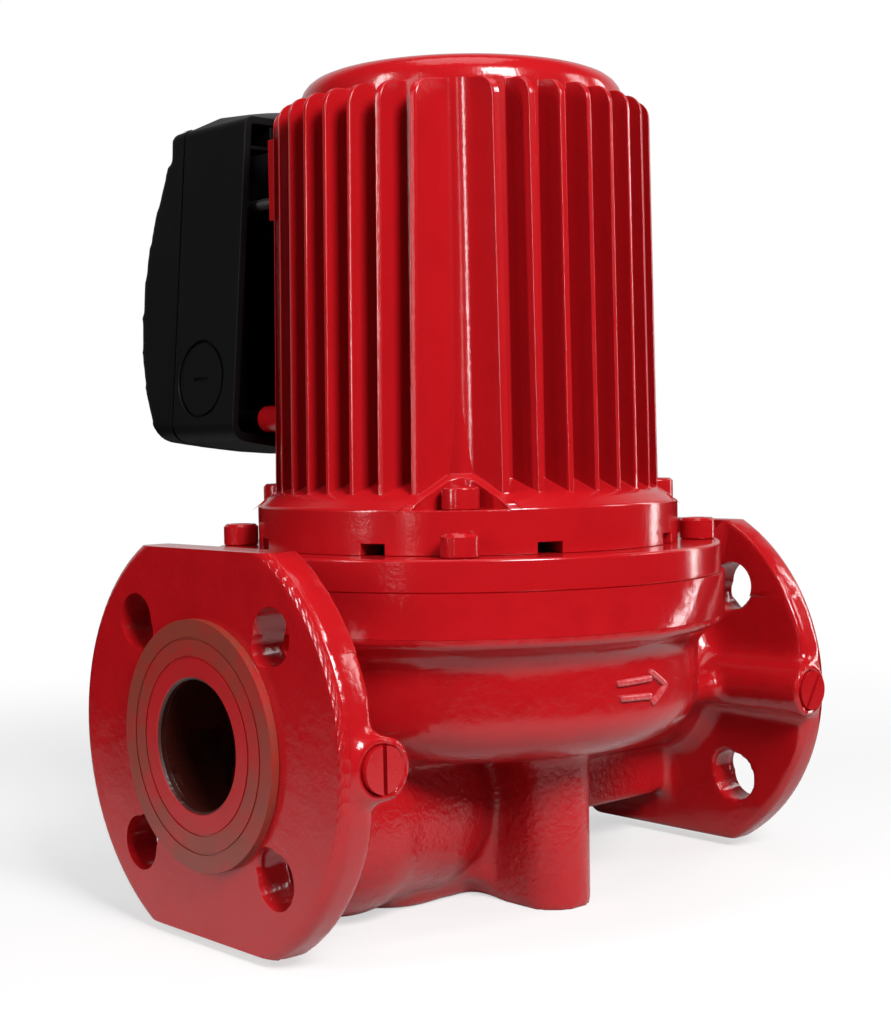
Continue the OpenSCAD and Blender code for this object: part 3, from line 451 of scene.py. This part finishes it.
winding = Finish("varnished_copper", Metallic=0.9)
strands = winding.place.grain(0.0012, 2.0)
varnished_copper = winding.feed(
    Base_Color=strands.colour((0.30, 0.10, 0.03), (0.55, 0.24, 0.09)),
    Roughness=0.35 + strands * 0.15,
    Normal=(strands * 0.0002).bump(),
)
dress(varnished_copper, "stator_windings")

carbon = Finish("carbon_bearing")
fleck = carbon.place.grain(0.0008, 2.0)
carbon_bearing = carbon.feed(
    Base_Color=fleck.colour((0.02, 0.02, 0.021), (0.045, 0.045, 0.046)), Roughness=0.45 + fleck * 0.2)
dress(carbon_bearing, "lower_bearing", "upper_bearing", "thrust_ring")

seal = Finish("black_rubber")
bloom = seal.place.grain(0.006, 3.0)
black_rubber = seal.feed(
    Base_Color=bloom.colour((0.012, 0.012, 0.012), (0.025, 0.025, 0.024)), Roughness=0.62 + bloom * 0.15)
dress(black_rubber, "housing_gasket", "vent_gasket", "lead_grommet", "terminal_box_gasket")

strip = Finish("terminal_strip")
cream = strip.place.grain(0.01, 2.0)
terminal_strip = strip.feed(
    Base_Color=cream.colour((0.55, 0.52, 0.44), (0.66, 0.63, 0.55)), Roughness=0.42 + cream * 0.1)
dress(terminal_strip, "terminal_block")

earth = Finish("earth_brass", Metallic=1.0)
tarnish = earth.place.grain(0.003, 3.0)
earth_brass = earth.feed(
    Base_Color=tarnish.colour((0.62, 0.42, 0.15), (0.42, 0.27, 0.10)), Roughness=0.30 + tarnish * 0.2)
dress(earth_brass, "earth_screw")

# Studio: a pale floor that runs out to white, six soft lamps and a white room.
# Reflections and bounced light see a darker floor than the camera does.
bpy.ops.object.select_all(action="DESELECT")
bpy.ops.mesh.primitive_plane_add(size=60)
floor = bpy.context.object
floor.name = "floor"
paper = bpy.data.materials.new("studio_paper")
paper.use_nodes = True
tree = paper.node_tree
matt = tree.nodes["Principled BSDF"]
matt.inputs["Base Color"].default_value = (0.86, 0.86, 0.86, 1)
matt.inputs["Roughness"].default_value = 0.9
glow = tree.nodes.new("ShaderNodeEmission")
ray = tree.nodes.new("ShaderNodeLightPath")
straight = Tone(ray.outputs["Is Camera Ray"]) + Tone(ray.outputs["Is Transmission Ray"])
spot = Tone(tree.nodes.new("ShaderNodeTexCoord").outputs["Object"])
away = spot.make("VectorMath", {"operation": "LENGTH"}, {0: spot}, "Value")
dark = tree.nodes.new("ShaderNodeEmission")
dark.inputs["Strength"].default_value = 0
white, lit = tree.nodes.new("ShaderNodeMixShader"), tree.nodes.new("ShaderNodeMixShader")
tree.links.new((straight * (0.60 + away.ramp(0.2, 0.7) * 0.40)).out, white.inputs[0])
tree.links.new(matt.outputs[0], white.inputs[1])
tree.links.new(glow.outputs[0], white.inputs[2])
shade = away.ramp(0.15, 0.60)
mirrored = Tone(ray.outputs["Is Glossy Ray"])
tree.links.new(((1 - straight) * (0.45 + shade * 0.55) - mirrored * (1 - shade) * 0.28).out, lit.inputs[0])
tree.links.new(white.outputs[0], lit.inputs[1])
tree.links.new(dark.outputs[0], lit.inputs[2])
tree.links.new(lit.outputs[0], tree.nodes["Material Output"].inputs[0])
floor.data.materials.append(paper)

world = bpy.context.scene.world or bpy.data.worlds.new("room")
bpy.context.scene.world = world
world.use_nodes = True
tree = world.node_tree
room = tree.nodes["Background"]
room.inputs["Color"].default_value = (1, 1, 1, 1)
ray = tree.nodes.new("ShaderNodeLightPath")
straight = Tone(ray.outputs["Is Camera Ray"]) + Tone(ray.outputs["Is Transmission Ray"])
direction = Tone(tree.nodes.new("ShaderNodeTexCoord").outputs["Generated"])
backdrop = (direction.axis("X") * ahead.x + direction.axis("Y") * ahead.y).ramp(0.35, 0.85)
mirrored = Tone(ray.outputs["Is Glossy Ray"]) * (backdrop * 0.60 - 0.04)
tree.links.new((0.06 + straight.ramp(0.0, 1.0) * 0.94 + mirrored).out, room.inputs["Strength"])

MIDDLE = (0, 0, 0.15)
LAMPS = (("key_softbox", (-0.28, -1.09, 0.95), (0, 0, 0.14), (0.45, 0.45), 24.0),
         ("left_strip", (-1.33, 0.22, 0.60), MIDDLE, (0.12, 0.9), 9.0),
         ("left_glint", (-1.28, -0.38, 0.50), (0, 0, 0.18), (0.06, 0.9), 1.2),
         ("right_strip", (1.22, -0.36, 0.40), (0, 0, 0.12), (0.08, 0.9), 4.0),
         ("right_panel", (0.92, -0.84, 0.72), (0, 0, 0.10), (0.25, 0.50), 3.0),
         ("top_softbox", (-0.1, -0.1, 1.35), (0, 0, 0.2), (0.7, 0.7), 3.0))
for name, place, aim, size, power in LAMPS:
    bpy.ops.object.light_add(type="AREA", location=place)
    light = bpy.context.object
    light.name = name
    light.rotation_euler = (Vector(aim) - Vector(place)).to_track_quat("-Z", "Y").to_euler()
    light.data.shape = "RECTANGLE"
    light.data.size, light.data.size_y = size
    light.data.energy = power
